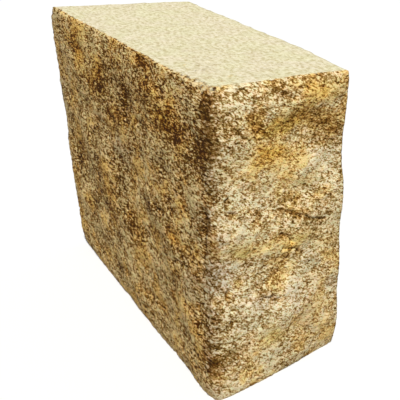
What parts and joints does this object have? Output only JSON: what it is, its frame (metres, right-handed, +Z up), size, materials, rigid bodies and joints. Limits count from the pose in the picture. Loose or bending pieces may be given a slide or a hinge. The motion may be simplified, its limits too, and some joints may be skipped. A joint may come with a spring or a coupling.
{
  "type": "concrete wall end block",
  "caption": "Solid concrete block for the end of a dry-laid wall, with a long face and an end split rough, flat beds and a tapered far end.",
  "frame": {"origin": "middle of the bottom bed, on the level floor that the block stands on", "axes": "+Z up, +X from the long split face to the moulded back, +Y from the split end to the tapered far end"},
  "size_m": [0.1, 0.2501, 0.2],
  "materials": {
    "cast_concrete": "matt sandstone-coloured concrete, coarse grit on the split faces and fine sand on the moulded ones"
  },
  "bodies": {
    "root": {"wall_end_block": "cast_concrete"}
  },
  "joints": []
}
